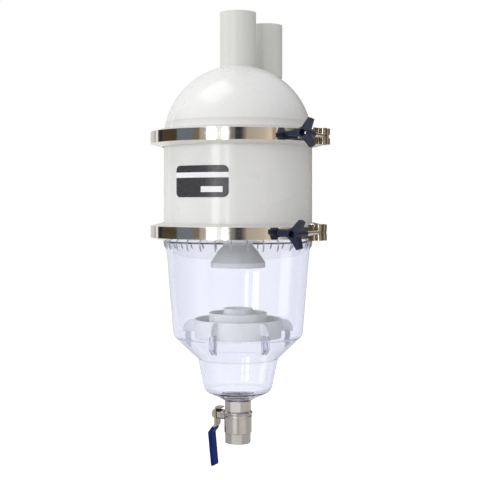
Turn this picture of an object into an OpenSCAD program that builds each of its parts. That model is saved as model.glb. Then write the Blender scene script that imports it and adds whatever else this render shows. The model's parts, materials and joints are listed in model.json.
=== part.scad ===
// Cyclone separator: a white vessel with two pipes on its dome, a clear sediment bowl,
// two band clamps with knobs, and a lever valve that drains the bowl.
// The origin is the centre of the outlet pipe's top end, +Z is up, the front faces -Y.

/* [Pipes] */
// Outside diameter of both pipes
pipe_od = 63; // [50:0.5:75]
// Wall of both pipes
pipe_wall = 4.7; // [3:0.1:6]
// Height of the outlet pipe above the dome
outlet_rise = 92; // [60:1:140]
// How much lower the inlet pipe ends than the outlet pipe
inlet_drop = 10; // [0:1:30]
// How far the inlet pipe's axis lies inside the vessel's side
inlet_inset = 39.5; // [38:0.5:48]
// Direction of the inlet pipe, from +X towards +Y
inlet_turn = 57; // [0:1:180]
// Length of each pipe inside the dome wall, below the dome's top for the outlet
pipe_tail = 40; // [35:1:60]
// Bevel on the inner edge of each open pipe end
pipe_bevel = 1.2; // [0.5:0.1:2]
// Step down to the pipe end that is glued into the dome
spigot_step = 1; // [0.5:0.1:2]

/* [Vessel] */
// Outside radius of the dome and the body
vessel_r = 129; // [125:0.5:140]
// Wall of the dome and the body
vessel_wall = 5; // [3:0.5:7]
// Height of the dome's top above the upper joint
dome_h = 127; // [122:1:129]
// Height of the crease round the dome above the upper joint
crease_h = 28; // [20:1:40]
// Height of the body between the two joints
body_h = 161.6; // [120:0.1:220]

/* [Flanges and clamps] */
// How far the flanges stand out from the vessel
flange_reach = 20; // [16:0.5:26]
// Height of one flange at its rim
flange_edge = 8.5; // [7:0.1:11]
// Height of one flange where it meets the vessel
flange_root = 13.9; // [12:0.1:17]
// Sheet thickness of the clamp bands
band_sheet = 2; // [1.5:0.1:2.5]
// How far the lips of a band stop short of the vessel wall
lip_gap = 2.5; // [1.5:0.1:4]
// Opening between the two ends of a band
band_gap = 30; // [24:1:40]
// Width of the seal between two flanges
seal_w = 5; // [3:0.5:7]
// Depth of the groove that holds a seal
seal_depth = 4; // [2:0.5:6]

/* [Clamp closures] */
// Where the upper clamp closes, from the front towards +X
upper_turn = 67; // [0:0.5:120]
// Where the lower clamp closes, from the front towards +X
lower_turn = 61; // [0:0.5:120]
// Distance of the bolts from the band's outer face
bolt_stand = 7.5; // [6.8:0.1:12]
// Diameter of the bolts
bolt_d = 4.6; // [4:0.1:5]
// Distance of each trunnion from the middle of its closure
trunnion_x = 8; // [7:0.5:14]
// Diameter of the trunnions
trunnion_d = 7.6; // [7.2:0.1:8.4]
// Sheet thickness of the loops
loop_sheet = 1.8; // [1.4:0.1:2]
// Height of a loop
loop_h = 27; // [22:0.5:30]
// Height of the slot in a loop that the bolt swings out of
slot_h = 5.6; // [5.4:0.1:6]
// Length of band that a loop's strap is welded along
weld_l = 30; // [15:1:45]
// Diameter of the sleeve on a bolt at the knob, and at the loop
sleeve_d = 9.2; // [8:0.1:10]
sleeve_tip_d = 6.8; // [6.6:0.1:8]

/* [Knobs] */
// Distance of a knob from the middle of its closure
knob_out = 62.5; // [45:0.5:75]
// Length of a knob along its bolt
knob_l = 51; // [46:1:70]
// Diameter of a knob's barrel at its end, and at the arms
barrel_d = 11.6; // [10.5:0.1:14]
barrel_root_d = 16.6; // [15:0.1:18]
// Radius of a knob over its arms
knob_r = 26; // [22:0.5:28]
// Depth of the arms along the bolt, at the hub and at the tips
arm_depth = 19; // [14:0.5:22]
tip_depth = 13; // [9:0.5:15]
// How far the arms fall back from the hub's face to their tips
arm_fall = 2; // [0:0.1:4]
// Width of an arm at the hub, and at its tip
arm_root_w = 12.5; // [10:0.5:14]
arm_tip_w = 7; // [5:0.5:9]
// Diameter and depth of the hole in a knob's face
knob_hole_d = 11; // [9:0.5:12]
knob_hole_depth = 12; // [6:0.5:16]
// Wall of the hub round that hole
hub_wall = 3.5; // [2.5:0.1:5]
// Turn of the upper knob's arms about its bolt
upper_knob_turn = 62; // [0:1:119]
// Turn of the lower knob's arms about its bolt
lower_knob_turn = 54; // [0:1:119]

/* [Sediment bowl] */
// Wall of the bowl
bowl_wall = 4; // [3:0.1:5]
// Height from the lower joint to the bowl's foot
bowl_h = 295; // [240:1:350]
// Depth below the lower joint where the side wall starts
side_top_h = 34.4; // [30:0.1:40]
// How far the side wall starts inside the vessel's side
side_inset = 4.5; // [3.5:0.1:6]
// How far the side wall leans in over its height
side_draft = 11.8; // [8:0.1:15]
// Height of the corner between the side wall and the shoulder above the foot
corner_h = 115; // [95:0.5:135]
// Width of the shoulder between the side wall and the cup
shoulder_w = 42.9; // [35:0.1:50]
// Height of the edge between the shoulder and the cup above the foot
cup_top_h = 73.6; // [60:0.1:88]
// How far the cup's side leans in over its height
cup_draft = 11.5; // [8:0.1:15]
// Height of the corner at the cup's bottom above the foot
cup_low_h = 18.5; // [15:0.1:22]
// Rounding of the bend below the flange, the side's foot, the cup's edge and the cup's foot
neck_round = 40; // [20:1:60]
side_round = 14; // [8:0.5:18]
shoulder_round = 5; // [3:0.5:8]
cup_round = 15; // [8:0.5:18]
// Radius of the flat drain floor inside the bowl
drain_floor_r = 28.6; // [25:0.1:32]
// Depth of that floor below the sloping floor round it
drain_floor_drop = 1.6; // [0.5:0.1:3]
// Number of gussets under the bowl's flange
gusset_n = 30; // [12:1:40]
// Thickness of a gusset
gusset_t = 2; // [1.5:0.1:3]
// Direction of the first gusset, from the front towards +X
gusset_turn = 7.1; // [0:0.1:12]
// Height of the gussets below the flange
gusset_h = 17; // [10:0.5:20]
// Diameter of the threaded nipple at the bowl's foot
nipple_d = 33.2; // [30:0.1:34]
// Length of the nipple
nipple_l = 12; // [10:0.5:13]

/* [Sediment baffle] */
// Gap between the outer ring and the bowl's corner
ring_gap = 37.1; // [32:0.1:42]
// Outside radius of the middle ring
middle_ring_r = 50.3; // [45:0.1:55]
// Outside radius of the inner ring
inner_ring_r = 25.3; // [20:0.1:30]
// Wall of the rings and the floor between them
ring_wall = 2.8; // [2:0.1:4]
// Height of the outer ring's top above the cup's edge
ring_top_h = 69.4; // [56:0.1:82]
// Height of the outer ring
ring_h = 34.4; // [28:0.1:40]
// Depth of the floor below the outer ring's top
floor_drop = 11; // [6:0.5:20]
// How far the middle ring rises above the outer one
middle_rise = 11; // [0:0.1:20]
// How far the inner ring rises above the outer one
inner_rise = 18.3; // [0:0.1:28]
// Number of fins and of the lug pairs that hold them
fin_n = 6; // [3:1:8]
// Thickness of a fin
fin_t = 4; // [3:0.1:6]
// How far a fin reaches from the outer ring
fin_reach = 20.4; // [17:0.1:24]
// Radius of a fin's shoulder
fin_round = 16; // [10:0.1:16.5]
// Turn of the fins from the right-hand side
fin_turn = 1.7; // [0:0.1:10]
// Thickness of a lug plate
lug_t = 2.5; // [2:0.1:4]
// Length of a lug plate, along the radius
lug_l = 11; // [8:0.5:14]
// How far a lug plate stays inside its fin's edge
lug_inset = 3.5; // [2:0.1:5]

/* [Riser and bell] */
// Outside diameter of the riser tube
riser_od = 46; // [40:0.5:50]
// Wall of the riser tube, its socket and the bell
riser_wall = 2.8; // [2:0.1:4]
// Depth of the socket that takes the outlet pipe
socket_h = 30; // [20:1:33]
// Length of the taper below the socket
taper_h = 26; // [15:1:40]
// Depth of the bell's rim below the lower joint
bell_h = 62.4; // [55:0.1:80]
// Height of the bell's straight rim
bell_rim_h = 8.4; // [5:0.1:15]
// Height of the bell's cone
bell_cone_h = 35; // [28:0.1:45]
// Outside radius of the bell's rim
bell_r = 47.6; // [40:0.1:60]
// Length of the neck that holds the riser tube
bell_neck_h = 24; // [15:1:40]

/* [Drain valve] */
// Width of the valve's octagons over their flats
octagon_af = 43; // [40:0.5:46]
// Turn of the end cap's octagon, and of the foot's
cap_turn = -12; // [-22:1:22]
foot_turn = -6; // [-22:1:22]
// Length of the valve
valve_l = 73; // [66:0.5:80]
// Depth of the stem's axis below the valve's top
stem_h = 26.5; // [26:0.5:28]
// Direction of the stem, from +X towards +Y
stem_turn = 155; // [140:1:220]
// Diameter of the water way through the valve
port_d = 25; // [22:0.5:26]
// Diameter of the ball
ball_d = 35; // [34:0.5:36]
// Height of the end cap's octagon
cap_h = 17; // [15:0.1:18]
// Diameter of the collar at the top of the valve's body
collar_d = 51; // [48:0.5:56]
// Diameter of the valve's barrel
valve_barrel_d = 47.8; // [46:0.1:50]
// Height of the lower octagon
foot_h = 18.5; // [14:0.1:20]
// Drill of the threaded outlet
tap_d = 30.3; // [28:0.1:31]
// Depth of the threaded outlet
tap_depth = 18; // [14:0.5:20]
// Diameter of the stem
stem_d = 11; // [9:0.5:12]
// Distance of the stem boss's end from the valve's axis
boss_end = 30; // [28:0.5:32]
// Width of the gland nut over its flats
gland_af = 16; // [15:0.5:17]
// Thickness and width of the nut on the lever
nut_t = 6; // [4:0.5:8]
nut_af = 14; // [12.5:0.5:17]

/* [Lever] */
// Distance of the lever plate from the valve's axis
lever_stand = 40; // [38:0.1:44]
// Thickness of the lever plate
lever_t = 3; // [2.5:0.1:4]
// Width of the lever
lever_w = 20; // [16:0.5:22]
// How far the lever reaches above the stem
lever_top = 13.7; // [13.5:0.1:18]
// Length and width of the stop lip that is bent in from the lever's top
lip_l = 8; // [6:0.5:9]
lip_w = 16; // [8:0.5:16.5]
// Depth of the lever's first bend below the stem
bend_h = 18; // [15:0.5:22]
// Depth of the lever's second bend below the stem
jog_h = 33; // [30:0.5:38]
// How far the lever steps out at its bends
jog_out = 11; // [6:0.5:14]
// Depth of the lever's tip below the stem
tip_h = 88; // [75:0.5:110]
// How far the tip leans back in
tip_in = 5.5; // [0:0.5:8]
// Thickness of the grip over the lever
grip_t = 6.2; // [5.6:0.1:9]
// Depth of the grip's upper end below the stem
grip_top = 24; // [22.5:0.5:29]

/* [Hidden] */
$fn = 96;
// Overlap of a cutting shape past the face that it cuts
over = 1;
// Gap in a glued socket, and between a clamp and what it holds
bond = 0.2;
seat = 0.3;
// Running gap of a part that turns
run = 0.3;
// Colours
white = "whitesmoke";
clear = [0.82, 0.84, 0.94, 0.45];
steel = "silver";
nickel = "tan";
navy = [0.13, 0.15, 0.25];
// Levels of the two joints
upper_z = -(outlet_rise + dome_h);
lower_z = upper_z - body_h;
// Dome
dome_z = -(outlet_rise + vessel_r);
inner_r = vessel_r - vessel_wall;
crease_r = sqrt(pow(vessel_r, 2) - pow(upper_z + crease_h - dome_z, 2));
// Flanges and the bands round them
flange_r = vessel_r + flange_reach;
flange_slope = (flange_root - flange_edge) / flange_reach;
web_clear = 1;
band_r = flange_r + web_clear + band_sheet;
lip_r = vessel_r + lip_gap;
band_half_gap = asin(band_gap / 2 / band_r);
// Seal groove midway across the flange face
seal_r = vessel_r + flange_reach / 2;
// Bolts and loops
bolt_r = band_r + bolt_stand;
bolt_hole_d = bolt_d + 2 * bond;
loop_ir = trunnion_d / 2 + bond;
loop_or = loop_ir + loop_sheet;
web_h = 2 * (flange_edge - web_clear * flange_slope + seat);
strap_r = band_r + bond;
// A strap leaves the band along a tangent that also touches the inside of its loop's roll
trunnion_far = norm([trunnion_x, bolt_r]);
strap_lean = acos((strap_r + loop_or) / trunnion_far);
strap_turn = strap_lean + atan(trunnion_x / bolt_r);
strap_l = trunnion_far * sin(strap_lean);
weld_turn = weld_l / strap_r * 180 / PI;
sleeve_x = trunnion_x + loop_or + bond;
bolt_end = knob_out + knob_l - knob_hole_depth - bolt_d / 3;
hub_r = knob_hole_d / 2 + hub_wall;
arm_n = 3;
// Pipes, each with a shoulder just clear of the dome
pipe_r = pipe_od / 2;
pipe_ir = pipe_r - pipe_wall;
spigot_r = pipe_r - spigot_step;
shoulder_gap = 1;
inlet_reach = vessel_r - inlet_inset;
inlet_far = inlet_reach - pipe_r;
outlet_shoulder = dome_z + sqrt(pow(vessel_r, 2) - pow(pipe_r, 2)) + shoulder_gap;
inlet_shoulder = dome_z + sqrt(pow(vessel_r, 2) - pow(inlet_far, 2)) + shoulder_gap;
outlet_end = -(outlet_rise + vessel_wall + pipe_tail);
inlet_end = dome_z + sqrt(pow(inner_r, 2) - pow(inlet_far, 2)) - 2 * pipe_tail;
// Riser and bell
riser_r = riser_od / 2;
socket_ir = spigot_r + bond;
bell_low = lower_z - bell_h;
cone_top = bell_low + bell_rim_h + bell_cone_h;
neck_r = riser_r + bond + riser_wall;
riser_end = cone_top + 2;
// Bowl: outer line from the flange to the foot, with its corners rounded
foot_r = octagon_af / 2;
bowl_low = lower_z - bowl_h;
neck_low = lower_z - flange_root;
neck_step = 1;
neck_r_out = vessel_r + neck_step;
side_top_r = vessel_r - side_inset;
corner_r = side_top_r - side_draft;
cup_top_r = corner_r - shoulder_w;
cup_low_r = cup_top_r - cup_draft;
side_top = [side_top_r, lower_z - side_top_h];
side_foot = [corner_r, bowl_low + corner_h];
cup_edge = [cup_top_r, bowl_low + cup_top_h];
cup_foot = [cup_low_r, bowl_low + cup_low_h];
bowl_line = concat(
    [[neck_r_out, lower_z], [neck_r_out, neck_low]],
    rounded([neck_r_out, neck_low], side_top, side_foot, neck_round),
    rounded(side_top, side_foot, cup_edge, side_round),
    rounded(side_foot, cup_edge, cup_foot, shoulder_round),
    rounded(cup_edge, cup_foot, [foot_r, bowl_low], cup_round),
    [[foot_r, bowl_low]]);
// Inner face of the shoulder, as a height for each radius
shoulder_slope = (side_foot[1] - cup_edge[1]) / (side_foot[0] - cup_edge[0]);
shoulder_wall = bowl_wall * norm([1, shoulder_slope]);
function shoulder_in(r) = cup_edge[1] + (r - cup_edge[0]) * shoulder_slope + shoulder_wall;
floor_slope = (cup_foot[1] - bowl_low) / (cup_foot[0] - foot_r);
floor_wall = bowl_wall * norm([1, floor_slope]);
drain_floor_z = bowl_low + (drain_floor_r - foot_r) * floor_slope + floor_wall - drain_floor_drop;
// The bowl's upper and lower halves meet a little below the cup's edge
split_drop = 8;
bowl_split = cup_edge[1] - split_drop;
// Baffle
outer_ring_r = corner_r - ring_gap;
ring_top = cup_edge[1] + ring_top_h;
ring_low = ring_top - ring_h;
floor_top = ring_top - floor_drop;
fin_r = outer_ring_r + fin_reach;
fin_step = 1;
fin_top = ring_top - fin_step;
fin_low = fin_top - fin_reach;
lug_r = fin_r - lug_inset;
lug_in = lug_r - lug_l;
lug_gap = fin_t / 2 + seat;
// Valve
cap_low = bowl_low - cap_h;
valve_low = bowl_low - valve_l;
ball_z = bowl_low - stem_h;
seat_wall = 1.7;
cavity_r = ball_d / 2 + seat_wall;
spigot_h = 1.5;
ball_room_d = ball_d + 2 * run;
seat_top = cap_low - spigot_h;
seat_h = seat_top - ball_z - stem_d / 2 - run;
cavity_low = 2 * ball_z - seat_top;
collar_low = ball_z;
boss_wall = 3.5;
boss_d = stem_d + 2 * boss_wall;
lever_gap = 1;
gland_end = lever_stand - lever_t / 2 - lever_gap;
tang_t = stem_d / 2;
tang_gap = 2;
tang_start = port_d / 2 + tang_gap;
stem_end = lever_stand + lever_t / 2 + nut_t + lever_gap;
lever_line = [[lever_stand, lever_top], [lever_stand, -bend_h],
    [lever_stand + jog_out, -jog_h], [lever_stand + jog_out - tip_in, -tip_h]];
grip_wall = (grip_t - lever_t) / 2;
grip_w = lever_w + 2 * grip_wall;
grip_share = (grip_top - bend_h) / (jog_h - bend_h);
grip_line = [lever_line[1] + grip_share * (lever_line[2] - lever_line[1]),
    lever_line[2], lever_line[3]];

// Unit vector, and the same turned a quarter to the left
function unit(v) = v / norm(v);
function left(v) = [-v[1], v[0]];
// Points of an arc of radius r that rounds corner b between a and c
function rounded(a, b, c, r, n = 6) =
    let (u = unit(a - b), v = unit(c - b), half = acos(u * v) / 2,
        m = b + unit(u + v) * r / sin(half),
        p = b + u * r / tan(half) - m, q = b + v * r / tan(half) - m,
        turn = sign(p[0] * q[1] - p[1] * q[0]) * (180 - 2 * half))
    [for (i = [0:n]) let (g = turn * i / n)
        m + [p[0] * cos(g) - p[1] * sin(g), p[0] * sin(g) + p[1] * cos(g)]];
// Line that runs at distance d to the left of line p, with mitred corners
function beside(p, d) = [for (i = [0:len(p) - 1])
    let (u = left(unit(p[min(i + 1, len(p) - 1)] - p[min(i, len(p) - 2)])),
        v = left(unit(p[max(i, 1)] - p[max(i - 1, 0)])))
    p[i] + d * (u + v) / (1 + u * v)];
function reversed(p) = [for (i = [len(p) - 1:-1:0]) p[i]];
// Strip of thickness t centred on line p
function strip(p, t) = concat(beside(p, t / 2), reversed(beside(p, -t / 2)));
// Height of a flange's sloping face above its joint at radius r
function flange_face(r) = flange_edge + (flange_r - r) * flange_slope;

module ring(r, wall, low, high) {
    rotate_extrude() translate([r - wall, low]) square([wall, high - low]);
}

// Flange above its joint plane, from radius r outwards
module flange(r) {
    root = max(r, vessel_r);
    inside = r < vessel_r ? [[r, flange_root]] : [];
    rotate_extrude() polygon(concat([[r, 0], [flange_r, 0], [flange_r, flange_edge],
        [root, flange_face(root)]], inside));
}

module seal_groove() {
    translate([0, 0, -seal_depth])
        ring(seal_r + seal_w / 2 + bond, seal_w + 2 * bond, 0, seal_depth + over);
}

module seal(z) {
    color("dimgray") translate([0, 0, z])
        ring(seal_r + seal_w / 2, seal_w, -seal_depth, 0);
}

module pipe(top, shoulder, low) {
    rotate_extrude() polygon([[pipe_ir, low], [spigot_r, low], [spigot_r, shoulder],
        [pipe_r, shoulder], [pipe_r, top], [pipe_ir + pipe_bevel, top], [pipe_ir, top - pipe_bevel]]);
}

module at_inlet() {
    translate([inlet_reach * cos(inlet_turn), inlet_reach * sin(inlet_turn), 0]) children();
}

module outlet_pipe() {
    color(white) pipe(0, outlet_shoulder, outlet_end);
}

module inlet_pipe() {
    color(white) at_inlet() pipe(-inlet_drop, inlet_shoulder, inlet_end);
}

module dome() {
    flange_top = upper_z + flange_root;
    crease_z = upper_z + crease_h;
    color(white) difference() {
        union() {
            translate([0, 0, upper_z]) flange(inner_r);
            difference() {
                intersection() {
                    translate([0, 0, dome_z]) sphere(r = vessel_r);
                    translate([0, 0, crease_z]) cylinder(r = vessel_r + over, h = vessel_r);
                }
                translate([0, 0, dome_z]) sphere(r = inner_r);
            }
            rotate_extrude() polygon([[inner_r, upper_z], [vessel_r, upper_z],
                [vessel_r, flange_top], [crease_r, crease_z],
                [crease_r - vessel_wall, crease_z], [inner_r, flange_top]]);
        }
        translate([0, 0, outlet_end]) cylinder(r = socket_ir, h = -outlet_end);
        at_inlet() translate([0, 0, inlet_end]) cylinder(r = socket_ir, h = -inlet_end);
    }
}

module body_shell() {
    color(white) ring(vessel_r, vessel_wall, lower_z, upper_z);
}

module body_top_flange() {
    color(white) translate([0, 0, upper_z]) difference() {
        mirror([0, 0, 1]) flange(vessel_r);
        seal_groove();
    }
}

module body_low_flange() {
    color(white) translate([0, 0, lower_z]) flange(vessel_r);
}

module riser_tube() {
    socket_top = outlet_end + socket_h;
    stop = outlet_end - riser_wall;
    taper_low = stop - taper_h;
    color(white) rotate_extrude() polygon([[socket_ir, socket_top],
        [socket_ir, outlet_end], [pipe_ir, outlet_end], [pipe_ir, stop],
        [riser_r - riser_wall, taper_low], [riser_r - riser_wall, riser_end],
        [riser_r, riser_end], [riser_r, taper_low],
        [socket_ir + riser_wall, stop], [socket_ir + riser_wall, socket_top]]);
}

module intake_bell() {
    line = [[neck_r, cone_top + bell_neck_h], [neck_r, cone_top],
        [bell_r, bell_low + bell_rim_h], [bell_r, bell_low]];
    color("gainsboro") rotate_extrude() polygon(concat(line, reversed(beside(line, -riser_wall))));
}

module upper_seal() {
    seal(upper_z);
}

module lower_seal() {
    seal(lower_z);
}

// Gusset from under the flange down along the neck of the bowl
module gusset() {
    neck_slope = (neck_r_out - side_top_r) / (side_top_h - flange_root);
    rotate([90, 0, 0]) translate([0, 0, -gusset_t / 2]) linear_extrude(gusset_t)
        polygon([[neck_r_out, neck_low], [vessel_r + lip_gap / 2, neck_low],
            [vessel_r, neck_low - gusset_h * 2 / 3],
            [neck_r_out - gusset_h * neck_slope, neck_low - gusset_h]]);
}

// Two plates on the bowl's shoulder that hold one fin between them
module lug_pair() {
    for (side = [-1, 1])
        translate([0, side * (lug_gap + lug_t / 2), 0]) rotate([90, 0, 0])
            translate([0, 0, -lug_t / 2]) linear_extrude(lug_t)
                polygon([[lug_in, shoulder_in(lug_in) - bowl_wall / 2], [lug_in, fin_low - lug_l / 4],
                    [lug_in + lug_l / 4, fin_low], [lug_r - lug_l / 4, fin_low],
                    [lug_r, fin_low - lug_l / 4], [lug_r, shoulder_in(lug_r) - bowl_wall / 2]]);
}

// Wall of the whole bowl, from the flange's face to the foot
module bowl_side() {
    rotate_extrude() polygon(concat(bowl_line, reversed(beside(bowl_line, -bowl_wall))));
}

// Room below the level where the bowl's two halves meet
module below_split() {
    translate([0, 0, bowl_low - over]) cylinder(r = vessel_r, h = bowl_split - bowl_low + over);
}

module sediment_bowl() {
    color(clear) difference() {
        bowl_side();
        below_split();
    }
}

module bowl_flange() {
    color(clear) translate([0, 0, lower_z]) difference() {
        mirror([0, 0, 1]) flange(neck_r_out);
        seal_groove();
    }
}

module bowl_gussets() {
    color(clear) for (i = [0:gusset_n - 1])
        rotate([0, 0, gusset_turn - 90 + i * 360 / gusset_n]) gusset();
}

module bowl_cup() {
    nipple_low = bowl_low - nipple_l;
    color(clear) difference() {
        union() {
            intersection() {
                bowl_side();
                below_split();
            }
            translate([0, 0, bowl_low]) cylinder(r = foot_r, h = drain_floor_z - bowl_low + over);
            translate([0, 0, nipple_low]) cylinder(d = nipple_d, h = nipple_l + over);
        }
        translate([0, 0, nipple_low - over]) cylinder(d = port_d, h = bowl_split - nipple_low);
        translate([0, 0, drain_floor_z]) cylinder(r = drain_floor_r, h = cup_low_h);
    }
}

module bowl_lugs() {
    color(clear) difference() {
        for (i = [0:fin_n - 1])
            rotate([0, 0, fin_turn + i * 360 / fin_n]) lug_pair();
        bowl_side();
    }
}

// Fin with a quarter-round shoulder and a foot that stands between two lug plates
module fin() {
    foot_in = lug_in + lug_l / 8;
    foot_out = lug_r - lug_l / 8;
    root = outer_ring_r - ring_wall / 2;
    rotate([90, 0, 0]) translate([0, 0, -fin_t / 2]) linear_extrude(fin_t) union() {
        polygon(concat([[root, fin_low], [fin_r, fin_low]],
            rounded([fin_r, fin_low], [fin_r, fin_top], [outer_ring_r, fin_top], fin_round),
            [[root, fin_top]]));
        polygon([[foot_in, fin_low + over], [foot_out, fin_low + over],
            [foot_out, shoulder_in(foot_out) + seat], [foot_in, shoulder_in(foot_in) + seat]]);
    }
}

module sediment_baffle() {
    color("gainsboro") {
        ring(outer_ring_r, ring_wall, ring_low, ring_top);
        translate([0, 0, floor_top - ring_wall])
            cylinder(r = outer_ring_r - ring_wall / 2, h = ring_wall);
        for (i = [0:fin_n - 1])
            rotate([0, 0, fin_turn + i * 360 / fin_n]) fin();
    }
}

module baffle_middle_ring() {
    color("gainsboro") ring(middle_ring_r, ring_wall, floor_top, ring_top + middle_rise);
}

module baffle_inner_ring() {
    color("gainsboro") ring(inner_ring_r, ring_wall, floor_top, ring_top + inner_rise);
}

// Closure frame: +X along the bolt to the knob, +Y straight out from the vessel
module at_upper() {
    translate([0, 0, upper_z]) rotate([0, 0, 180 + upper_turn]) children();
}

module at_lower() {
    translate([0, 0, lower_z]) rotate([0, 0, 180 + lower_turn]) children();
}

// Channel band round both flanges, open at its closure
module clamp_band() {
    inner = [[lip_r, flange_face(lip_r) + seat], [band_r - band_sheet, web_h / 2],
        [band_r - band_sheet, -web_h / 2], [lip_r, -flange_face(lip_r) - seat]];
    color(steel) rotate([0, 0, 90 + band_half_gap]) rotate_extrude(angle = 360 - 2 * band_half_gap)
        polygon(concat(inner, reversed(beside(inner, band_sheet))));
}

// Strap welded to the band and rolled round a trunnion, on the +X side of its closure
module clamp_loop() {
    color(steel) difference() {
        union() {
            rotate([0, 0, 90 - strap_turn - weld_turn]) rotate_extrude(angle = weld_turn)
                translate([strap_r, -web_h / 2]) square([loop_sheet, web_h]);
            translate([0, 0, -loop_h / 2]) linear_extrude(loop_h) difference() {
                union() {
                    rotate(-strap_turn) translate([-strap_l, strap_r]) square([strap_l + over, loop_sheet]);
                    translate([trunnion_x, bolt_r]) circle(r = loop_or);
                }
                translate([trunnion_x, bolt_r]) circle(r = loop_ir);
            }
        }
        translate([0, bolt_r - loop_or - over, -slot_h / 2])
            cube([trunnion_x + loop_or + over, 2 * (loop_or + over), slot_h]);
    }
}

module t_bolt() {
    color(steel) translate([0, bolt_r, 0]) {
        translate([-trunnion_x, 0, -loop_h / 2]) cylinder(d = trunnion_d, h = loop_h);
        translate([-trunnion_x, 0, 0]) rotate([0, 90, 0])
            cylinder(d = bolt_d, h = trunnion_x + bolt_end);
    }
}

module trunnion() {
    color(steel) translate([trunnion_x, bolt_r, 0]) difference() {
        translate([0, 0, -loop_h / 2]) cylinder(d = trunnion_d, h = loop_h);
        rotate([0, 90, 0]) cylinder(d = bolt_hole_d, h = 2 * trunnion_d, center = true);
    }
}

// Tapered sleeve on a bolt, from the near loop to the knob
module sleeve() {
    l = knob_out - run - sleeve_x;
    color(steel) translate([sleeve_x, bolt_r, 0]) rotate([0, 90, 0]) difference() {
        cylinder(d1 = sleeve_tip_d, d2 = sleeve_d, h = l);
        translate([0, 0, -over]) cylinder(d = bolt_hole_d, h = l + 2 * over);
    }
}

// Three-armed knob: arms cut from a star by a turned outline that thins them to their tips
module knob(turn) {
    arm_low = knob_l - arm_depth;
    tip_high = knob_l - arm_fall;
    color(navy) translate([knob_out, bolt_r, 0]) rotate([0, 90, 0]) rotate([0, 0, 90 + turn]) difference() {
        union() {
            cylinder(d1 = barrel_d, d2 = barrel_root_d, h = knob_l - over);
            intersection() {
                linear_extrude(knob_l) union() {
                    circle(r = hub_r);
                    for (i = [0:arm_n - 1]) rotate(i * 360 / arm_n)
                        polygon([[0, -arm_root_w / 2], [knob_r, -arm_tip_w / 2],
                            [knob_r, arm_tip_w / 2], [0, arm_root_w / 2]]);
                }
                rotate_extrude() polygon([[0, arm_low - hub_r / 2], [barrel_d / 2, arm_low - hub_r / 2],
                    [hub_r, arm_low], [knob_r, tip_high - tip_depth], [knob_r, tip_high],
                    [hub_r, knob_l], [0, knob_l]]);
            }
        }
        translate([0, 0, -over]) cylinder(d = bolt_d + 2 * run, h = knob_l + 2 * over);
        translate([0, 0, knob_l - knob_hole_depth]) cylinder(d = knob_hole_d, h = knob_hole_depth + over);
    }
}

module upper_clamp_band() {
    at_upper() clamp_band();
}

module upper_near_loop() {
    at_upper() clamp_loop();
}

module upper_far_loop() {
    at_upper() mirror([1, 0, 0]) clamp_loop();
}

module upper_t_bolt() {
    at_upper() t_bolt();
}

module upper_trunnion() {
    at_upper() trunnion();
}

module upper_sleeve() {
    at_upper() sleeve();
}

module upper_knob() {
    at_upper() knob(upper_knob_turn);
}

module lower_clamp_band() {
    at_lower() clamp_band();
}

module lower_near_loop() {
    at_lower() clamp_loop();
}

module lower_far_loop() {
    at_lower() mirror([1, 0, 0]) clamp_loop();
}

module lower_t_bolt() {
    at_lower() t_bolt();
}

module lower_trunnion() {
    at_lower() trunnion();
}

module lower_sleeve() {
    at_lower() sleeve();
}

module lower_knob() {
    at_lower() knob(lower_knob_turn);
}

// Octagonal prism, turned from having one flat to the front
module octagon(h, turn) {
    rotate([0, 0, 22.5 + turn]) cylinder(d = octagon_af / cos(22.5), h = h, $fn = 8);
}

module ball_room() {
    translate([0, 0, ball_z]) sphere(d = ball_room_d);
}

// Stem frame: +X along the stem, away from the valve
module at_stem() {
    translate([0, 0, ball_z]) rotate([0, 0, stem_turn]) children();
}

module valve_end_cap() {
    color(nickel) difference() {
        union() {
            translate([0, 0, cap_low]) octagon(cap_h, cap_turn);
            translate([0, 0, seat_top]) cylinder(r = cavity_r - bond, h = spigot_h + over);
        }
        translate([0, 0, bowl_low - nipple_l - bond]) cylinder(d = nipple_d + 2 * bond, h = nipple_l + over);
        translate([0, 0, seat_top - over]) cylinder(d = port_d, h = valve_l);
        ball_room();
    }
}

module valve_body() {
    groove = 1.6;
    chamfer = 3;
    foot_top = valve_low + foot_h;
    color(nickel) difference() {
        union() {
            rotate_extrude() polygon([[0, cap_low], [collar_d / 2 - chamfer, cap_low],
                [collar_d / 2, cap_low - chamfer], [collar_d / 2, collar_low + 3 * groove],
                [valve_barrel_d / 2, collar_low + 2 * groove], [valve_barrel_d / 2, collar_low + groove],
                [collar_d / 2 - groove / 2, collar_low], [valve_barrel_d / 2, collar_low - groove],
                [valve_barrel_d / 2, foot_top], [octagon_af / 2, foot_top - groove], [0, foot_top - groove]]);
            intersection() {
                translate([0, 0, valve_low]) octagon(foot_h, foot_turn);
                translate([0, 0, valve_low])
                    cylinder(r1 = octagon_af / 2, r2 = octagon_af / 2 + 2 * foot_h, h = foot_h);
            }
            at_stem() rotate([0, 90, 0]) cylinder(d = boss_d, h = boss_end);
        }
        translate([0, 0, cavity_low]) cylinder(r = cavity_r, h = cap_low - cavity_low + over);
        translate([0, 0, valve_low - over]) cylinder(d = port_d, h = valve_l);
        translate([0, 0, valve_low - over]) cylinder(d = tap_d, h = tap_depth + over);
        at_stem() rotate([0, 90, 0]) cylinder(d = stem_d + 2 * run, h = boss_end + over);
        ball_room();
    }
}

module ball_seat(low) {
    color("white") difference() {
        ring(cavity_r - bond, cavity_r - bond - port_d / 2, low, low + seat_h);
        ball_room();
    }
}

module upper_ball_seat() {
    ball_seat(seat_top - seat_h);
}

module lower_ball_seat() {
    ball_seat(cavity_low);
}

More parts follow.
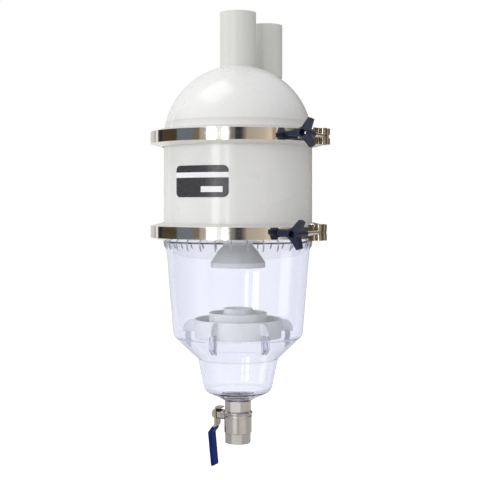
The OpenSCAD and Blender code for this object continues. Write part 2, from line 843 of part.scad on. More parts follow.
module valve_ball() {
    color(steel) difference() {
        translate([0, 0, ball_z]) sphere(d = ball_d);
        translate([0, 0, ball_z - ball_d]) cylinder(d = port_d, h = 2 * ball_d);
        at_stem() translate([tang_start, -tang_t / 2 - bond, -ball_d / 2])
            cube([ball_d, tang_t + 2 * bond, ball_d]);
    }
}

module valve_stem() {
    tang_end = ball_room_d / 2 + run;
    color(nickel) at_stem() {
        translate([tang_end, 0, 0]) rotate([0, 90, 0]) cylinder(d = stem_d, h = stem_end - tang_end);
        intersection() {
            translate([tang_start + bond, -tang_t / 2, -stem_d])
                cube([tang_end - tang_start, tang_t, 2 * stem_d]);
            rotate([0, 90, 0]) cylinder(d = stem_d, h = stem_end);
        }
    }
}

module gland_nut() {
    color(nickel) at_stem() rotate([0, 90, 0]) difference() {
        translate([0, 0, boss_end]) cylinder(d = gland_af / cos(30), h = gland_end - boss_end, $fn = 6);
        cylinder(d = stem_d + 2 * run, h = gland_end + over);
    }
}

// Flat shape of the lever seen along the stem: round at the stem and at the tip
module lever_face(w, low) {
    intersection() {
        union() {
            translate([-w / 2, -low + w / 2]) square([w, low + lever_top - w / 2]);
            translate([0, -low + w / 2]) circle(d = w);
        }
        union() {
            circle(r = lever_top);
            translate([-w / 2, -2 * low]) square([w, 2 * low]);
        }
    }
}

// Bent strip of thickness t along a line of the lever, w wide
module bent_strip(line, t, w) {
    rotate([90, 0, 0]) translate([0, 0, -w / 2]) linear_extrude(w) polygon(strip(line, t));
}

module valve_lever() {
    color(steel) at_stem() difference() {
        union() {
            intersection() {
                bent_strip(lever_line, lever_t, lever_w);
                rotate([90, 0, 90]) linear_extrude(2 * lever_stand) lever_face(lever_w, tip_h - over);
            }
            translate([lever_stand - lever_t / 2 - lip_l, -lip_w / 2, lever_top - lever_t])
                cube([lip_l + lever_t, lip_w, lever_t - over / 2]);
        }
        rotate([0, 90, 0]) cylinder(d = stem_d + 2 * bond, h = 2 * lever_stand);
    }
}

module lever_grip() {
    edge = grip_t / 2;
    color([0.02, 0.16, 0.5]) at_stem() difference() {
        for (i = [0:1]) hull() for (p = [grip_line[i], grip_line[i + 1]])
            for (y = [-1, 1])
                translate([p[0], y * (grip_w / 2 - edge), p[1]]) sphere(r = edge, $fn = 24);
        bent_strip(lever_line, lever_t + 2 * bond, lever_w + 2 * bond);
    }
}

module lever_nut() {
    start = lever_stand + lever_t / 2 + bond;
    color(steel) at_stem() rotate([0, 90, 0]) difference() {
        intersection() {
            translate([0, 0, start]) cylinder(d = nut_af / cos(30), h = nut_t, $fn = 6);
            translate([0, 0, start]) cylinder(r1 = nut_af, r2 = nut_af / 2, h = nut_t);
        }
        cylinder(d = stem_d + 2 * bond, h = 2 * lever_stand);
    }
}

outlet_pipe();
inlet_pipe();
dome();
body_shell();
body_top_flange();
body_low_flange();
riser_tube();
intake_bell();
upper_seal();
lower_seal();
sediment_bowl();
bowl_flange();
bowl_gussets();
bowl_cup();
bowl_lugs();
sediment_baffle();
baffle_middle_ring();
baffle_inner_ring();
upper_clamp_band();
upper_near_loop();
upper_far_loop();
upper_t_bolt();
upper_trunnion();
upper_sleeve();
upper_knob();
lower_clamp_band();
lower_near_loop();
lower_far_loop();
lower_t_bolt();
lower_trunnion();
lower_sleeve();
lower_knob();
valve_end_cap();
valve_body();
upper_ball_seat();
lower_ball_seat();
valve_ball();
valve_stem();
gland_nut();
valve_lever();
lever_grip();
lever_nut();
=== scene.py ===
"""Looks of the cyclone separator: finishes, the bowl in one piece, the bare label plate, glue beads,
studio and camera."""

import json
import math

import bpy
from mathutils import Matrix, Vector


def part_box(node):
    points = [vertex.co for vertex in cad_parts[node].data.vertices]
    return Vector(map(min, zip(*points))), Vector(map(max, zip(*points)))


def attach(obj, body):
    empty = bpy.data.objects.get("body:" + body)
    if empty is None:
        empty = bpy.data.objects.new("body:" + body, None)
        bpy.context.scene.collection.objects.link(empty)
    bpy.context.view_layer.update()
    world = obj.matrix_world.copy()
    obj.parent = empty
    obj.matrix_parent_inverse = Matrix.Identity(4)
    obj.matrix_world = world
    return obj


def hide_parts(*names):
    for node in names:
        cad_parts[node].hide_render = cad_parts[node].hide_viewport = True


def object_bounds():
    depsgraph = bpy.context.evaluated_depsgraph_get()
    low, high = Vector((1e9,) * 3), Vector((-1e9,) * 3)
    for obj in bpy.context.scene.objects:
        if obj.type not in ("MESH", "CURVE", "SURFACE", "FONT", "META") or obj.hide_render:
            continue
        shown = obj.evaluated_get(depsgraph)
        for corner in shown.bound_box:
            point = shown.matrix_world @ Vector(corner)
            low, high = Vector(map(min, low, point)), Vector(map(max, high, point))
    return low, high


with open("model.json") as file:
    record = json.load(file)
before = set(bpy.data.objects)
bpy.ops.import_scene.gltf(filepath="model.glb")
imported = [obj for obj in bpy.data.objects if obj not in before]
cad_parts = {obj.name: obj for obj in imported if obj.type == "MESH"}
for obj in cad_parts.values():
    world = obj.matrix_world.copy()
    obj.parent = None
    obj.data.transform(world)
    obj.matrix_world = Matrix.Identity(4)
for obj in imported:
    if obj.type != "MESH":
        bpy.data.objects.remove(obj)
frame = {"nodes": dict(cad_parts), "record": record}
cad_low, cad_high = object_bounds()

# Sizes of the object, in metres
VESSEL_R = 0.129
DOME_Z = -0.221
PIPE_R = (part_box("outlet_pipe")[1][0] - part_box("outlet_pipe")[0][0]) / 2
INLET_LOW, INLET_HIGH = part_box("inlet_pipe")
INLET_X = (INLET_LOW[0] + INLET_HIGH[0]) / 2
INLET_Y = (INLET_LOW[1] + INLET_HIGH[1]) / 2

# Crease round the dome, and the painted shade on the skirt under it: its base colour is darkened there
CREASE_Z = -0.1916
CREASE_BLUR = 0.0012
PAINTED_SHADE_H = 0.0115
PAINTED_SHADE_TONE = 0.86

# Bead of glue where a pipe leaves the dome
BEAD_R = 0.0011
BEAD_STEPS = 96
BEAD_SIDES = 10

# Clear bowl: flange and neck
FLANGE_R = 0.149
FLANGE_EDGE = 0.0085
FLANGE_ROOT = 0.0139
NECK_R = 0.130
BOWL_WALL = 0.004
# Corners of its outer line: depth below the flange's top, then heights above the foot
SIDE_TOP_R = 0.1245
SIDE_TOP_DEPTH = 0.0344
CORNER_R = 0.1127
CORNER_H = 0.115
CUP_TOP_R = 0.0698
CUP_TOP_H = 0.0736
CUP_LOW_R = 0.0583
CUP_LOW_H = 0.0185
BOWL_FOOT_Z = -0.6756
FOOT_R = 0.0215
# Rounding of the bend below the flange, the side's foot, the cup's edge and the cup's foot
NECK_ROUND = 0.040
SIDE_ROUND = 0.014
SHOULDER_ROUND = 0.005
CUP_ROUND = 0.015
# Drain floor inside the bowl, and the nipple under it
DRAIN_FLOOR_R = 0.0286
DRAIN_FLOOR_H = 0.0060
DRAIN_FLOOR_DROP = 0.0016
NIPPLE_R = 0.0166
NIPPLE_L = 0.012
BORE_R = 0.0125
# Steps round the bowl, and the angle from which an edge of it is sharp
BOWL_STEPS = 192
SHARP_EDGE = math.radians(24)

# Label plate: turn from the front, towards +X, and heights
LABEL_START = math.radians(-52.4)
LABEL_END = math.radians(-6.6)
LABEL_LOW = -0.3216
LABEL_HIGH = -0.2694
LABEL_CORNER = 0.009
LABEL_T = 0.0006
LABEL_STEPS = 96
# Its pale stripe and pale field
STRIPE_LOW = -0.2895
STRIPE_HIGH = -0.2808
FIELD_LOW = -0.3133
FIELD_HIGH = -0.3038
FIELD_START = math.radians(-28)
FIELD_END = math.radians(-11)
LABEL_PALE = (0.93, 0.93, 0.94, 1)

# The photograph's frame: focal length and eye level in pixels of a 480 by 480 image
IMAGE_PX = 480
FOCAL_PX = 1050
EYE_LEVEL_PX = 202
AXIS_PX = 238
METRES_PER_PX = 0.001745
EYE_Z = -0.3296
SENSOR_MM = 36


# Node helpers

def new_material(name, **sockets):
    """A Principled material. Socket names are written with underscores."""
    mat = bpy.data.materials.new(name)
    mat.use_nodes = True
    for socket, value in sockets.items():
        shader_of(mat).inputs[socket.replace("_", " ")].default_value = value
    return mat


def shader_of(mat):
    return mat.node_tree.nodes["Principled BSDF"]


def link(mat, output, socket):
    mat.node_tree.links.new(output, shader_of(mat).inputs[socket])


def add(tree, kind, links=None, **settings):
    """Adds a node, sets its properties, and links or sets its inputs by name or number."""
    made = tree.nodes.new(kind)
    for key, value in settings.items():
        setattr(made, key, value)
    for key, value in (links or {}).items():
        if isinstance(value, bpy.types.NodeSocket):
            tree.links.new(value, made.inputs[key])
        else:
            made.inputs[key].default_value = value
    return made


def calc(tree, operation, *values, **settings):
    """Result of a sum over numbers or sockets."""
    return add(tree, "ShaderNodeMath", dict(enumerate(values)), operation=operation, **settings).outputs[0]


def ramp(tree, value, start, end, low=0.0, high=1.0):
    """Maps the range from start to end to the range from low to high, and holds it there."""
    return add(tree, "ShaderNodeMapRange", {"Value": value, "From Min": start, "From Max": end,
               "To Min": low, "To Max": high}).outputs["Result"]


def blend(tree, share, first, second, data_type="RGBA"):
    """A share of the way from one colour, or number, to another."""
    return add(tree, "ShaderNodeMix", {"Factor": share, "A": first, "B": second},
               data_type=data_type).outputs["Result"]


def coordinates(tree, kind="Object"):
    return add(tree, "ShaderNodeTexCoord").outputs[kind]


def split(tree, place):
    """The X, Y and Z of a place, by name."""
    return add(tree, "ShaderNodeSeparateXYZ", {0: place}).outputs


def turn_from_front(tree, xyz):
    """Turn of a place about the upright axis, from the front and towards +X."""
    front = calc(tree, "MULTIPLY", xyz["Y"], -1.0)
    return calc(tree, "ARCTAN2", xyz["X"], front)


def noise(mat, scale, detail=3.0, stretch=(1, 1, 1)):
    """Noise over the object's own coordinates, in features per metre."""
    tree = mat.node_tree
    mapped = add(tree, "ShaderNodeMapping", {"Vector": coordinates(tree), "Scale": stretch})
    return add(tree, "ShaderNodeTexNoise", {"Vector": mapped.outputs["Vector"], "Scale": scale,
               "Detail": detail}).outputs["Fac"]


def spread(mat, value, low, high, start=0.3, end=0.7):
    """Maps a noise value to a range."""
    return ramp(mat.node_tree, value, start, end, low, high)


def tint(mat, value, first, second):
    """Base colour that wanders between two colours."""
    link(mat, blend(mat.node_tree, value, first, second), "Base Color")


def roughen(mat, value, low, high, start=0.3, end=0.7):
    """Roughness that wanders between two values."""
    link(mat, spread(mat, value, low, high, start, end), "Roughness")


def relief(mat, layers, soften=0.0):
    """Stacks bump layers (value, strength, distance) over edges softened by a radius."""
    tree = mat.node_tree
    normal = None
    if soften:
        normal = add(tree, "ShaderNodeBevel", {"Radius": soften}, samples=4).outputs["Normal"]
    for value, strength, distance in layers:
        links = {"Height": value, "Strength": strength, "Distance": distance}
        if normal:
            links["Normal"] = normal
        normal = add(tree, "ShaderNodeBump", links).outputs["Normal"]
    link(mat, normal, "Normal")


# Finishes

def shell(name):
    """Glossy white moulding, faintly clouded."""
    mat = new_material(name, Coat_Weight=0.35, Coat_Roughness=0.09)
    cloud = spread(mat, noise(mat, scale=9, detail=4), 0, 1, start=0.2, end=0.8)
    tint(mat, cloud, (0.825, 0.825, 0.81, 1), (0.838, 0.838, 0.823, 1))
    roughen(mat, noise(mat, scale=20), 0.25, 0.31, start=0.2, end=0.8)
    waves = noise(mat, scale=25, detail=2)
    grain = noise(mat, scale=900, detail=2)
    relief(mat, [(waves, 0.003, 0.001), (grain, 0.01, 0.0003)], soften=0.0012)
    return mat


def white_shell():
    return shell("white_shell")


def dome_shell_painted_shade():
    """White shell with painted shade: its base colour is darker on the skirt under the crease."""
    mat = shell("dome_shell_painted_shade")
    tree = mat.node_tree
    plain = shader_of(mat).inputs["Base Color"].links[0].from_socket
    height = split(tree, coordinates(tree))["Z"]
    # Painted shade: the base colour darkens in a band just under the crease and fades downwards
    under = ramp(tree, height, CREASE_Z - PAINTED_SHADE_H, CREASE_Z, low=1.0, high=PAINTED_SHADE_TONE)
    below = ramp(tree, height, CREASE_Z, CREASE_Z + CREASE_BLUR, low=1.0, high=0.0)
    shade = blend(tree, below, 1.0, under, data_type="FLOAT")
    dim = add(tree, "ShaderNodeVectorMath", {0: plain, 1: shade}, operation="MULTIPLY")
    link(mat, dim.outputs["Vector"], "Base Color")
    return mat


def white_pipe():
    """Extruded white pipe, streaked along its length."""
    mat = new_material("white_pipe")
    streak = noise(mat, scale=60, detail=4, stretch=(1, 1, 0.03))
    tint(mat, spread(mat, streak, 0, 1), (0.70, 0.705, 0.675, 1), (0.76, 0.76, 0.73, 1))
    roughen(mat, noise(mat, scale=40, detail=5), 0.32, 0.48)
    relief(mat, [(streak, 0.06, 0.0006), (noise(mat, scale=700), 0.04, 0.0003)], soften=0.001)
    return mat


def moulding(name, low, high):
    """Dull moulding with a fine grain."""
    mat = new_material(name)
    tint(mat, spread(mat, noise(mat, scale=30, detail=4), 0, 1), low, high)
    roughen(mat, noise(mat, scale=90, detail=4), 0.42, 0.58)
    relief(mat, [(noise(mat, scale=1200), 0.08, 0.0003)], soften=0.0008)
    return mat


def grey_moulding():
    return moulding("grey_moulding", (0.90, 0.895, 0.875, 1), (0.94, 0.935, 0.915, 1))


# Painted shade: the same moulding as the grey one in darker colours, for the bell and riser that stand inside
# the body
def bell_moulding_painted_shade():
    return moulding("bell_moulding_painted_shade", (0.83, 0.825, 0.80, 1), (0.88, 0.875, 0.85, 1))


def clear(name, density, base=(1, 1, 1, 1), transmission=1.0):
    """Clear plastic that dims light along its way, and lets lamp light through to what stands behind it."""
    mat = new_material(name, Base_Color=base, IOR=1.5, Transmission_Weight=transmission)
    roughen(mat, noise(mat, scale=25, detail=4), 0.0, 0.012)
    relief(mat, [(noise(mat, scale=22, detail=2), 0.05, 0.001)])
    tree = mat.node_tree
    shadow_ray = add(tree, "ShaderNodeLightPath").outputs["Is Shadow Ray"]
    through = add(tree, "ShaderNodeBsdfTransparent", {"Color": (0.97, 0.97, 0.985, 1)})
    mix = add(tree, "ShaderNodeMixShader", {0: shadow_ray, 1: shader_of(mat).outputs[0],
              2: through.outputs[0]})
    dim = add(tree, "ShaderNodeVolumeAbsorption", {"Color": (0.07, 0.19, 0.62, 1), "Density": density})
    end = tree.nodes["Material Output"]
    tree.links.new(mix.outputs[0], end.inputs["Surface"])
    tree.links.new(dim.outputs[0], end.inputs["Volume"])
    return mat


def clear_bowl():
    return clear("clear_bowl", density=29.0)


def clear_rib():
    """Clear plastic, greyer and less clear than the bowl."""
    return clear("clear_rib", density=40.0, base=(0.58, 0.60, 0.68, 1), transmission=0.35)


def polished_steel():
    """Bright band steel, brushed round its length."""
    mat = new_material("polished_steel", Metallic=1.0)
    tint(mat, spread(mat, noise(mat, scale=12), 0, 1), (0.80, 0.77, 0.73, 1), (0.87, 0.85, 0.82, 1))
    roughen(mat, noise(mat, scale=14, detail=6, stretch=(1, 1, 12)), 0.04, 0.12)
    waves = noise(mat, scale=10, detail=2)
    brushing = noise(mat, scale=120, detail=4, stretch=(1, 1, 8))
    relief(mat, [(waves, 0.05, 0.002), (brushing, 0.015, 0.0004)], soften=0.0006)
    return mat


def clamp_steel():
    """Darker steel of the clamps' loops and bolts."""
    mat = new_material("clamp_steel", Metallic=1.0)
    tint(mat, spread(mat, noise(mat, scale=80), 0, 1), (0.40, 0.35, 0.29, 1), (0.52, 0.47, 0.41, 1))
    roughen(mat, noise(mat, scale=250, detail=4), 0.08, 0.16)
    relief(mat, [(noise(mat, scale=200), 0.03, 0.0004)], soften=0.0004)
    return mat


def knob_plastic():
    """Dark blue plastic with a fine grain."""
    mat = new_material("knob_plastic", Specular_IOR_Level=0.22)
    cloud = spread(mat, noise(mat, scale=120, detail=4), 0, 1)
    tint(mat, cloud, (0.014, 0.019, 0.042, 1), (0.021, 0.027, 0.055, 1))
    roughen(mat, noise(mat, scale=260, detail=4), 0.34, 0.5)
    relief(mat, [(noise(mat, scale=1600), 0.18, 0.0003)], soften=0.0012)
    return mat


def nickel_plate():
    """Plated brass of the valve."""
    mat = new_material("nickel_plate", Metallic=1.0)
    cloud = spread(mat, noise(mat, scale=70, detail=5), 0, 1)
    tint(mat, cloud, (0.59, 0.555, 0.525, 1), (0.65, 0.62, 0.59, 1))
    roughen(mat, noise(mat, scale=160, detail=5), 0.17, 0.25)
    grain = noise(mat, scale=650)
    waves = noise(mat, scale=60, detail=2)
    relief(mat, [(grain, 0.02, 0.0003), (waves, 0.02, 0.001)], soften=0.0007)
    return mat


def lever_steel():
    """Plain sheet steel, brushed along the lever."""
    mat = new_material("lever_steel", Metallic=1.0)
    cloud = spread(mat, noise(mat, scale=60, detail=4), 0, 1)
    tint(mat, cloud, (0.46, 0.42, 0.35, 1), (0.56, 0.52, 0.46, 1))
    roughen(mat, noise(mat, scale=300, detail=4, stretch=(1, 1, 0.1)), 0.22, 0.42)
    brushing = noise(mat, scale=500, detail=4, stretch=(1, 1, 0.15))
    relief(mat, [(brushing, 0.08, 0.0003)], soften=0.0005)
    return mat


def grip_vinyl():
    """Blue dipped vinyl, slightly uneven."""
    mat = new_material("grip_vinyl", Specular_IOR_Level=0.1)
    cloud = spread(mat, noise(mat, scale=60, detail=4), 0, 1)
    tint(mat, cloud, (0.0, 0.015, 0.15, 1), (0.001, 0.022, 0.19, 1))
    roughen(mat, noise(mat, scale=150, detail=4), 0.34, 0.46)
    relief(mat, [(noise(mat, scale=200), 0.1, 0.0006)], soften=0.001)
    return mat


def seal_rubber():
    mat = new_material("seal_rubber", Roughness=0.6)
    tint(mat, noise(mat, scale=200, detail=4), (0.50, 0.50, 0.51, 1), (0.58, 0.58, 0.59, 1))
    relief(mat, [(noise(mat, scale=900), 0.1, 0.0003)])
    return mat


def seat_plastic():
    mat = new_material("seat_plastic", Roughness=0.45)
    tint(mat, noise(mat, scale=120), (0.82, 0.82, 0.80, 1), (0.88, 0.88, 0.86, 1))
    relief(mat, [(noise(mat, scale=700), 0.06, 0.0003)])
    return mat


def ball_chrome():
    mat = new_material("ball_chrome", Metallic=1.0)
    tint(mat, noise(mat, scale=60), (0.80, 0.80, 0.80, 1), (0.88, 0.88, 0.88, 1))
    roughen(mat, noise(mat, scale=200, detail=4), 0.06, 0.16)
    return mat


def bead_glue():
    mat = new_material("bead_glue", Roughness=0.2)
    tint(mat, noise(mat, scale=90), (0.72, 0.72, 0.69, 1), (0.80, 0.80, 0.77, 1))
    relief(mat, [(noise(mat, scale=160), 0.3, 0.001)])
    return mat


def label_film():
    """Dark printed film with a bare pale stripe and a bare pale field."""
    mat = new_material("label_film")
    tree = mat.node_tree
    xyz = split(tree, coordinates(tree))
    turn = turn_from_front(tree, xyz)

    def between(value, low, high):
        above = calc(tree, "GREATER_THAN", value, low)
        below = calc(tree, "LESS_THAN", value, high)
        return calc(tree, "MULTIPLY", above, below)

    stripe = between(xyz["Z"], STRIPE_LOW, STRIPE_HIGH)
    field_rows = between(xyz["Z"], FIELD_LOW, FIELD_HIGH)
    field = calc(tree, "MULTIPLY", field_rows, between(turn, FIELD_START, FIELD_END))
    pale = calc(tree, "MAXIMUM", stripe, field)
    dark = blend(tree, noise(mat, scale=150, detail=4), (0.040, 0.040, 0.046, 1), (0.052, 0.052, 0.058, 1))
    tint(mat, pale, dark, LABEL_PALE)
    roughen(mat, noise(mat, scale=200), 0.24, 0.4)
    relief(mat, [(noise(mat, scale=600), 0.04, 0.0003)])
    return mat


FINISHES = {make.__name__: make() for make in (
    white_shell, dome_shell_painted_shade, white_pipe, grey_moulding, bell_moulding_painted_shade, clear_bowl, clear_rib, polished_steel,
    clamp_steel, knob_plastic, nickel_plate, lever_steel, grip_vinyl, seal_rubber, seat_plastic, ball_chrome,
    bead_glue, label_film)}
# Nodes that differ from the finish of their record slot
# The bell and riser take the darker moulding, whose colours hold painted shade
OWN_FINISH = {"dome": "dome_shell_painted_shade", "intake_bell": "bell_moulding_painted_shade", "riser_tube": "bell_moulding_painted_shade",
              "bowl_gussets": "clear_rib"}
OWN_FINISH |= {f"{level}_{piece}": "clamp_steel" for level in ("upper", "lower")
               for piece in ("near_loop", "far_loop", "t_bolt", "trunnion")}


def dress_nodes():
    """Gives every CAD node its own finish, or that of its record slot."""
    for part in frame["record"]["subparts"]:
        slots = frame["nodes"][part["node"]].data.materials
        slots.clear()
        slots.append(FINISHES[OWN_FINISH.get(part["node"], part["material_slot"])])


# Pieces

def mesh_piece(name, points, faces, finish, body, smooth=True):
    mesh = bpy.data.meshes.new(name)
    mesh.from_pydata(points, [], faces)
    mesh.validate()
    mesh.materials.append(FINISHES[finish])
    for face in mesh.polygons:
        face.use_smooth = smooth
    piece = bpy.data.objects.new(name, mesh)
    bpy.context.scene.collection.objects.link(piece)
    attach(piece, body)
    return piece


def pipe_bead(name, x, y):
    """Bead of glue where an upright pipe leaves the dome."""
    route = []
    for i in range(BEAD_STEPS):
        g = 2 * math.pi * i / BEAD_STEPS
        px = x + PIPE_R * math.cos(g)
        py = y + PIPE_R * math.sin(g)
        route.append(Vector((px, py, DOME_Z + math.sqrt(VESSEL_R ** 2 - px ** 2 - py ** 2))))
    points = []
    faces = []
    for i, here in enumerate(route):
        ahead = (route[(i + 1) % BEAD_STEPS] - route[i - 1]).normalized()
        side = ahead.cross(Vector((0, 0, 1))).normalized()
        up = side.cross(ahead)
        for k in range(BEAD_SIDES):
            g = 2 * math.pi * k / BEAD_SIDES
            points.append(here + BEAD_R * (math.cos(g) * side + math.sin(g) * up))
    for i in range(BEAD_STEPS):
        near = i * BEAD_SIDES
        far = (i + 1) % BEAD_STEPS * BEAD_SIDES
        for k in range(BEAD_SIDES):
            m = (k + 1) % BEAD_SIDES
            faces.append((near + k, far + k, far + m, near + m))
    return mesh_piece(name, points, faces, "bead_glue", "vessel")


def turned(name, line, steps, finish, body):
    """Solid turned about the axis from a closed line of (radius, height) points."""
    points = []
    faces = []
    count = len(line)
    for i in range(steps):
        g = 2 * math.pi * i / steps
        points += [Vector((r * math.cos(g), r * math.sin(g), z)) for r, z in line]
    for i in range(steps):
        j = (i + 1) % steps
        for k in range(count):
            m = (k + 1) % count
            faces.append((i * count + k, i * count + m, j * count + m, j * count + k))
    piece = mesh_piece(name, points, faces, finish, body)
    piece.data.set_sharp_from_angle(angle=SHARP_EDGE)
    return piece


def round_corners(corners, radii, steps=8):
    """Line through the corners, with an arc in place of each inner corner."""
    line = [Vector(corners[0])]
    for before, corner, after, radius in zip(corners, corners[1:], corners[2:], radii):
        corner = Vector(corner)
        back = (Vector(before) - corner).normalized()
        ahead = (Vector(after) - corner).normalized()
        half = back.angle(ahead) / 2
        start, end = (corner + v * radius / math.tan(half) for v in (back, ahead))
        centre = corner + (back + ahead).normalized() * radius / math.sin(half)
        first = start - centre
        last = end - centre
        whole = first.angle(last)
        for i in range(steps + 1):
            share = i / steps
            arm = (math.sin((1 - share) * whole) * first + math.sin(share * whole) * last) / math.sin(whole)
            line.append(centre + arm)
    line.append(Vector(corners[-1]))
    return line


def beside(line, distance):
    """Line at a distance to the right of another, with mitred corners."""
    moved = []
    for i, here in enumerate(line):
        a = (line[min(i + 1, len(line) - 1)] - line[min(i, len(line) - 2)]).normalized()
        b = (line[max(i, 1)] - line[max(i - 1, 0)]).normalized()
        u = Vector((a.y, -a.x))
        v = Vector((b.y, -b.x))
        moved.append(here + distance * (u + v) / (1 + u.dot(v)))
    return moved


def whole_bowl():
    """The clear bowl as one moulding, in place of the nodes that it is split into."""
    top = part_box("bowl_flange")[1][2]
    foot = BOWL_FOOT_Z
    corners = [(NECK_R, top - FLANGE_ROOT), (SIDE_TOP_R, top - SIDE_TOP_DEPTH), (CORNER_R, foot + CORNER_H),
               (CUP_TOP_R, foot + CUP_TOP_H), (CUP_LOW_R, foot + CUP_LOW_H), (FOOT_R, foot)]
    outer = round_corners(corners, (NECK_ROUND, SIDE_ROUND, SHOULDER_ROUND, CUP_ROUND))
    inner = beside(outer, BOWL_WALL)
    floor_z = foot + DRAIN_FLOOR_H
    floor_edge = floor_z + DRAIN_FLOOR_DROP
    inside = [p for p in inner if p.y > floor_edge] + [Vector((DRAIN_FLOOR_R, floor_edge))]
    line = [Vector((FLANGE_R, top)), Vector((FLANGE_R, top - FLANGE_EDGE))] + outer
    line += [Vector((NIPPLE_R, foot)), Vector((NIPPLE_R, foot - NIPPLE_L)), Vector((BORE_R, foot - NIPPLE_L)),
             Vector((BORE_R, floor_z)), Vector((DRAIN_FLOOR_R, floor_z))]
    line += inside[::-1] + [Vector((NECK_R - BOWL_WALL, top))]
    bowl = turned("whole_bowl", line, BOWL_STEPS, "clear_bowl", "vessel")
    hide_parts("sediment_bowl", "bowl_flange", "bowl_cup")


def label_plate():
    """Thin plate with round corners that follows the body's curve."""
    radius = VESSEL_R + LABEL_T
    width = (LABEL_END - LABEL_START) * radius
    points = []
    for i in range(LABEL_STEPS + 1):
        along = width * 0.5 * (1 - math.cos(math.pi * i / LABEL_STEPS))
        edge = max(0.0, LABEL_CORNER - min(along, width - along))
        trim = LABEL_CORNER - math.sqrt(max(0.0, LABEL_CORNER ** 2 - edge ** 2))
        low = LABEL_LOW + trim
        high = LABEL_HIGH - trim
        g = LABEL_START + along / radius
        for r, z in ((VESSEL_R, low), (radius, low), (radius, high), (VESSEL_R, high)):
            points.append(Vector((r * math.sin(g), -r * math.cos(g), z)))
    faces = []
    for i in range(LABEL_STEPS):
        for k in range(4):
            m = (k + 1) % 4
            faces.append((4 * i + k, 4 * i + 4 + k, 4 * i + 4 + m, 4 * i + m))
    faces.append((0, 1, 2, 3))
    faces.append(tuple(4 * LABEL_STEPS + k for k in (3, 2, 1, 0)))
    mesh_piece("label_plate", points, faces, "label_film", "vessel", smooth=False)


dress_nodes()
whole_bowl()
pipe_bead("outlet_bead", 0.0, 0.0)
pipe_bead("inlet_bead", INLET_X, INLET_Y)
label_plate()


# Studio

FLOOR_Z = -1.2
FLOOR_R = 14.0
FLOOR_SIDES = 96
FLOOR_PAINT = (0.8, 0.8, 0.8, 1)
# Glow that makes the floor white to the eye, and how it fades near the object for rays through the bowl
FLOOR_GLOW = 0.66
FLOOR_GLOW_NEAR = 0.1
GLOW_START_R = 0.6
GLOW_FULL_R = 2.6
# The floor as mirrors see it, and the ring's share in that
FLOOR_IN_MIRRORS = (0.85, 0.85, 0.85, 1)
RING_SHARE = 0.45
# World: full white, ceiling as mirrors see it, even fill, and the sides as the clear bowl shows them
FULL_WHITE = (1, 1, 1, 1)
BLACK = (0, 0, 0, 1)
CEILING = (0.85, 0.85, 0.87, 1)
FILL = (0.56, 0.56, 0.57, 1)
SIDES = (0.11, 0.12, 0.23, 1)
# Upward slope of a ray where the ring gives way to the ceiling
CEILING_START = 0.25
CEILING_FULL = 0.7
# Turn from the front where the sides give way to the white behind the object
BEHIND_START = math.radians(125)
BEHIND_FULL = math.radians(162)
# Tones round the studio for reflections: degrees from the front, towards +X, and colour
WHITE, DARK, BROWN = (1.0, 1.0, 1.0), (0.045, 0.044, 0.042), (0.085, 0.062, 0.036)
SLATE, UMBER, SAND = (0.16, 0.18, 0.205), (0.19, 0.155, 0.115), (0.44, 0.385, 0.32)
RING = [(-180, (0.75, 0.74, 0.70)), (-141, (0.66, 0.64, 0.60)), (-138, UMBER), (-135, (0.9, 0.9, 0.87)),
        (-129, (0.9, 0.9, 0.87)), (-127, (0.03, 0.032, 0.037)), (-117, (0.03, 0.032, 0.037)), (-114, BROWN),
        (-87, (0.065, 0.05, 0.03)), (-84, SLATE), (-61, SLATE), (-58, UMBER), (-51, UMBER), (-49, SAND),
        (-42, SAND), (-40, WHITE), (-12, WHITE), (-9.5, (0.22, 0.21, 0.19)), (-4, (0.20, 0.19, 0.17)),
        (-3, DARK), (5, DARK), (6.5, UMBER), (9.5, (0.24, 0.21, 0.18)), (11, SAND), (33, (0.55, 0.48, 0.39)),
        (43, (0.80, 0.68, 0.52)), (46, (0.38, 0.31, 0.21)), (50, (0.40, 0.33, 0.23)), (52, (0.9, 0.9, 0.9)),
        (58, (0.5, 0.46, 0.40)), (80, DARK), (128, UMBER)]


def studio_ring(tree, turn):
    """The studio's tone at a turn from the front."""
    ring = add(tree, "ShaderNodeValToRGB", {0: ramp(tree, turn, -math.pi, math.pi)})
    stops = ring.color_ramp.elements
    while len(stops) < len(RING):
        stops.new(0.5)
    for stop, (degrees, rgb) in zip(stops, RING):
        stop.position = (degrees + 180) / 360
        stop.color = (*rgb, 1)
    return ring.outputs["Color"]


def world_light():
    """White all round to the eye, a ring of tones for reflections, an even fill for the rest."""
    world = bpy.data.worlds.new("studio")
    bpy.context.scene.world = world
    world.use_nodes = True
    tree = world.node_tree
    xyz = split(tree, coordinates(tree, "Generated"))
    turn = turn_from_front(tree, xyz)
    path = add(tree, "ShaderNodeLightPath").outputs
    upward = ramp(tree, xyz["Z"], CEILING_START, CEILING_FULL)
    mirrored = blend(tree, upward, studio_ring(tree, turn), CEILING)
    behind = ramp(tree, calc(tree, "ABSOLUTE", turn), BEHIND_START, BEHIND_FULL)
    through = blend(tree, behind, SIDES, FULL_WHITE)
    fill = blend(tree, path["Is Glossy Ray"], FILL, mirrored)
    # Rays that have met no matt surface on their way through the bowl
    direct = calc(tree, "LESS_THAN", path["Diffuse Depth"], 0.5)
    clear_ray = calc(tree, "MULTIPLY", path["Is Transmission Ray"], direct)
    beyond = blend(tree, clear_ray, fill, through)
    final = blend(tree, path["Is Camera Ray"], beyond, FULL_WHITE)
    tree.links.new(final, tree.nodes["Background"].inputs["Color"])


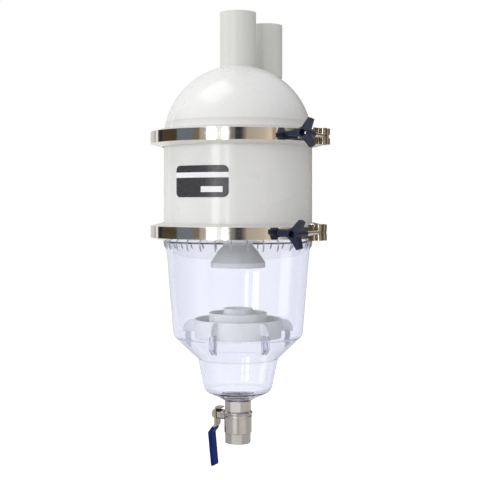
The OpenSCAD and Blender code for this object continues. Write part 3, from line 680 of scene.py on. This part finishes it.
def floor():
    """Pale floor that the eye sees as white, with the object's shadow left on it."""
    bpy.ops.mesh.primitive_circle_add(vertices=FLOOR_SIDES, radius=FLOOR_R, fill_type="NGON",
                                      location=(0, 0, FLOOR_Z))
    ground = bpy.context.active_object
    ground.name = "floor"
    mat = new_material("floor_paint", Roughness=0.9)
    tree = mat.node_tree
    path = add(tree, "ShaderNodeLightPath").outputs
    place = coordinates(tree)
    away = add(tree, "ShaderNodeVectorMath", {0: place}, operation="LENGTH").outputs["Value"]
    far = ramp(tree, away, GLOW_START_R, GLOW_FULL_R, low=FLOOR_GLOW_NEAR, high=FLOOR_GLOW)
    bent = calc(tree, "MULTIPLY", path["Is Transmission Ray"], far)
    straight = calc(tree, "MULTIPLY", path["Is Camera Ray"], FLOOR_GLOW)
    mirrored = calc(tree, "SUBTRACT", path["Is Glossy Ray"], path["Is Transmission Ray"], use_clamp=True)
    seen = calc(tree, "MAXIMUM", straight, bent)
    glow = calc(tree, "MAXIMUM", seen, mirrored)
    ring = studio_ring(tree, turn_from_front(tree, split(tree, place)))
    tone = blend(tree, RING_SHARE, FLOOR_IN_MIRRORS, ring)
    cast = blend(tree, mirrored, FULL_WHITE, tone)
    tint(mat, mirrored, FLOOR_PAINT, BLACK)
    link(mat, cast, "Emission Color")
    link(mat, glow, "Emission Strength")
    ground.data.materials.append(mat)


def lamp(name, turn, height, distance, size, power, in_mirrors=True):
    """Rectangular lamp at an angle from the front, aimed at the middle of the object."""
    data = bpy.data.lights.new(name, "AREA")
    data.shape = "RECTANGLE"
    data.size, data.size_y = size
    data.energy = power
    item = bpy.data.objects.new(name, data)
    item.visible_glossy = in_mirrors
    g = math.radians(turn)
    middle = (cad_low + cad_high) / 2
    item.location = Vector((distance * math.sin(g), -distance * math.cos(g), height))
    item.rotation_euler = (middle - item.location).to_track_quat("-Z", "Y").to_euler()
    bpy.context.scene.collection.objects.link(item)


def camera():
    """The photograph's view: level, with the picture shifted to its eye level."""
    data = bpy.data.cameras.new("camera")
    data.sensor_width = SENSOR_MM
    data.lens = SENSOR_MM * FOCAL_PX / IMAGE_PX
    data.shift_y = (EYE_LEVEL_PX - IMAGE_PX / 2) / IMAGE_PX
    eye = bpy.data.objects.new("camera", data)
    eye.location = ((IMAGE_PX / 2 - AXIS_PX) * METRES_PER_PX, -FOCAL_PX * METRES_PER_PX, EYE_Z)
    eye.rotation_euler = (math.pi / 2, 0, 0)
    bpy.context.scene.collection.objects.link(eye)
    bpy.context.scene.camera = eye


world_light()
floor()
lamp("window_left", turn=-33, height=0.15, distance=2.6, size=(0.50, 1.5), power=12)
lamp("window_right", turn=-16, height=0.15, distance=2.6, size=(0.28, 1.5), power=5.5)
lamp("side_soft", turn=-95, height=0.3, distance=2.6, size=(1.2, 1.6), power=11, in_mirrors=False)
lamp("right_soft", turn=70, height=0.2, distance=2.6, size=(1.2, 1.6), power=4, in_mirrors=False)
lamp("top_soft", turn=-75, height=2.2, distance=1.15, size=(1.6, 1.6), power=19)
camera()
bpy.context.scene.view_settings.view_transform = "Standard"
